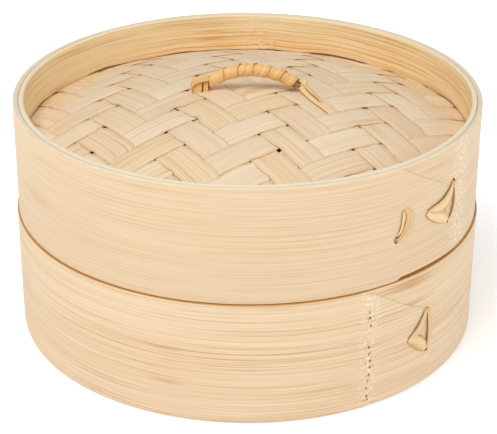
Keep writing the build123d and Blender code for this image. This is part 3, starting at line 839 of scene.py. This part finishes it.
turns, ribbon_thick = 6.5, 0.00045
share = np.linspace(0, 1, 240)
uneven_share = share + np.array([0.018 * wave(8 * s, 7.0) for s in share])
centre_line, outward = arch_point(np.clip(uneven_share * 0.97 + 0.02, 0, 1))
wound = 2 * math.pi * turns * share + 0.6
round_it = outward * np.cos(wound)[:, None] + np.array([0.0, 1.0, 0.0]) * np.sin(wound)[:, None]
along_arch = np.gradient(centre_line, axis=0)
along_arch /= np.linalg.norm(along_arch, axis=1, keepdims=True)
spread = core_radius + 0.00048 + 0.00008 * np.array([wave(20 * s, 9.0) for s in share])
spread *= 1 - 0.20 * ease((share - 0.90) / 0.1) - 0.20 * ease((0.08 - share) / 0.08)
width = 0.0069 + 0.0007 * np.array([wave(11 * s, 12.0) for s in share])
width *= 1 - 0.55 * ease((share - 0.95) / 0.05) - 0.4 * ease((0.03 - share) / 0.03)
ribbon = cane_strip(centre_line + round_it * spread[:, None], round_it - along_arch * 0.085, width,
                    ribbon_thick, 22.0, square=0.55, crown=0.00022)
twig_turn = np.linspace(-0.9, 2.4, 24)
twig_centre, twig_out = arch_point(0.93 - 0.10 * (twig_turn + 0.9) / 3.3)
twig_round = twig_out * np.cos(twig_turn)[:, None] - np.array([0.0, 1.0, 0.0]) * np.sin(twig_turn)[:, None]
twig = cane_strip(twig_centre + twig_round * (core_radius + 0.00085), twig_round, np.full(24, 0.0010),
                  0.0004, 23.0)
# The dark brown edge tone is painted shade along the edges of the ribbon's overlapping turns and of the left
# lashing
ribbon_finish = bamboo(
    "cane ribbon", tone(249, 203, 140), tone(206, 146, 78), tone(242, 190, 116), tone(176, 114, 54),
    seed=92.0, vein_depth=0.45, amber_depth=0.6, lines=0.3, fineness=0.8, edge_amount=0.45, shine=0.45)
fit_piece("handle_ribbon", joined([ribbon, twig]), ribbon_finish, "handle", "cane_ribbon", "handle_wrap")


# ==== Handle, ties ==========================================================================
# The feet are tied down through the weave. The left one is held by a flat cane folded over the
# peg and by two straps, and the right one by a strap and two splits tucked between the strips.

def bare_strip(keys, out, seed, thick=0.0007, count=30, crown=0.0):
    """Cane through the air. Each key is a place and a width, in mm, and out is its skin's direction."""
    line = smooth(keys, count) / 1000
    facing = smooth(out, count)
    return cane_strip(line[:, :3], facing, line[:, 3], thick, seed, crown=crown)


def strap(x, width, front, back, top, seed):
    """A strap over a peg, down through the sheet in front and behind."""
    return bare_strip([(x - 0.3, -front, 103.4, width), (x - 0.2, -front, 105.6, width),
                       (x, -front * 0.62, top - 0.9, width), (x + 0.2, 0.1, top, width),
                       (x + 0.3, back * 0.7, top - 1.2, width),
                       (x + 0.3, back, 105.4, width), (x + 0.3, back, 103.2, width)],
                      [(0, -1, 0), (0, -1, 0.1), (0, -0.7, 0.7), (0, 0, 1), (0, 0.7, 0.7), (0, 1, 0),
                       (0, 1, 0)], seed)


# The browner edge tone is painted shade along the outlines of the right lashing
tie_finish = bamboo(
    "tie cane", tone(253, 222, 168), tone(206, 150, 84), tone(240, 194, 124), tone(190, 132, 70),
    seed=93.0, vein_depth=0.5, amber_depth=0.6, lines=0.4, fineness=1.1, edge_amount=0.35, shine=0.4)
fold = bare_strip([(-16.6, -0.4, 110.0, 3.8), (-18.6, -0.6, 109.9, 4.6), (-21.4, -0.8, 109.6, 5.4),
                   (-23.7, -0.9, 108.2, 5.6), (-24.2, -0.9, 106.4, 5.4), (-23.4, -0.8, 104.6, 4.8),
                   (-22.4, -0.6, 103.2, 3.8)],
                  [(0, -0.15, 1), (0, -0.15, 1), (-0.3, -0.15, 1), (-1, -0.15, 0.5), (-1, -0.15, -0.1),
                   (-1, -0.1, -0.6), (-1, 0, -0.8)], 31.0, thick=0.0009, count=36, crown=0.00015)
left = [fold, strap(-21.6, 3.8, 2.9, 2.4, 109.2, 32.0), strap(-18.1, 2.2, 2.3, 2.4, 109.4, 33.0)]
fit_piece("handle_lashing_left", joined(left), ribbon_finish, "lid", "cane_ribbon", "handle_tie_left")
right = [
    strap(24.2, 2.4, 2.1, 2.3, 109.2, 34.0),
    bare_strip([(23.2, -1.9, 107.2, 1.8), (23.6, -2.9, 106.2, 2.2), (25.4, -5.9, 105.3, 2.4),
                (28.0, -10.8, 104.6, 2.3), (31.2, -16.0, 104.0, 2.0), (34.0, -20.4, 103.1, 1.4),
                (34.8, -21.6, 102.0, 1.1)],
               [(0.1, -0.3, 1)] * 7, 35.0, thick=0.0005),
    bare_strip([(24.2, -1.0, 108.4, 1.8), (25.6, -1.7, 107.0, 2.1), (27.5, -3.5, 105.5, 2.1),
                (29.4, -6.4, 104.8, 1.8), (31.0, -9.8, 104.3, 1.3), (31.5, -10.9, 103.3, 1.0)],
               [(0.2, -0.2, 1)] * 6, 36.0, thick=0.0005),
]
fit_piece("handle_lashing_right", joined(right), tie_finish, "lid", "cane_ribbon", "handle_tie_right")


# ==== Stage =================================================================================
# A pale table that grows brighter away from the basket, in a white room. A large soft lamp stands
# above the front left, a weaker one fills in from the front right, and two cool ones at the sides.

def lamp(name, place_at, power, colour=(1, 1, 1)):
    """A round lamp, 0.8 m across, that looks at the middle of the basket."""
    light = bpy.data.lights.new(name, "AREA")
    light.shape, light.size, light.energy, light.color = "DISK", 0.8, power, colour
    made = bpy.data.objects.new(name, light)
    made.location = place_at
    made.rotation_euler = (Vector((0, 0, 0.06)) - Vector(place_at)).to_track_quat("-Z", "Y").to_euler()
    bpy.context.scene.collection.objects.link(made)


table_mesh = bpy.data.meshes.new("table")
table_mesh.from_pydata([(-9, -9, 0), (9, -9, 0), (9, 9, 0), (-9, 9, 0)], [], [(0, 1, 2, 3)])
table = bpy.data.objects.new("table", table_mesh)
bpy.context.scene.collection.objects.link(table)
pale_table = bpy.data.materials.new("pale table")
pale_table.use_nodes = True
table_tree = pale_table.node_tree
surface = table_tree.nodes["Principled BSDF"]
surface.inputs["Base Color"].default_value = (0.9, 0.9, 0.9, 1)
surface.inputs["Roughness"].default_value = 0.9
surface.inputs["Emission Color"].default_value = (1, 1, 1, 1)
from_centre = place(table_tree, "VectorMath", {0: place(table_tree, "TexCoord").outputs["Object"]},
                    operation="LENGTH").outputs["Value"]
glow = ramp(table_tree, from_centre, 0.14, 0.50, 0.34, 1.0)
table_tree.links.new(glow, surface.inputs["Emission Strength"])
table_mesh.materials.append(pale_table)

world = bpy.data.worlds.new("white room")
bpy.context.scene.world = world
world.use_nodes = True
room = world.node_tree.nodes["Background"]
room.inputs["Color"].default_value = (1, 1, 1, 1)
room.inputs["Strength"].default_value = 0.42
cool = (0.88, 0.96, 1.0)
lamp("softbox", (-0.30, -0.50, 1.25), 8.4)
lamp("fill", (1.0, -1.2, 0.85), 3.1)
lamp("left side", (-1.4, -0.1, 0.5), 1.4, cool)
lamp("right side", (1.4, -0.1, 0.5), 1.4, cool)
bpy.context.scene.view_settings.view_transform = "Standard"

camera_data = bpy.data.cameras.new("camera")
camera_data.sensor_width, camera_data.lens = 36.0, 112.56
camera = bpy.data.objects.new("camera", camera_data)
camera.location = (0.0, -0.6292, 0.3567)
aim = Matrix.Rotation(math.radians(-0.056), 3, "Z") @ Matrix.Rotation(math.radians(63.504), 3, "X")
camera.rotation_euler = (aim @ Matrix.Rotation(math.radians(0.363), 3, "Z")).to_euler()
bpy.context.scene.collection.objects.link(camera)
bpy.context.scene.camera = camera
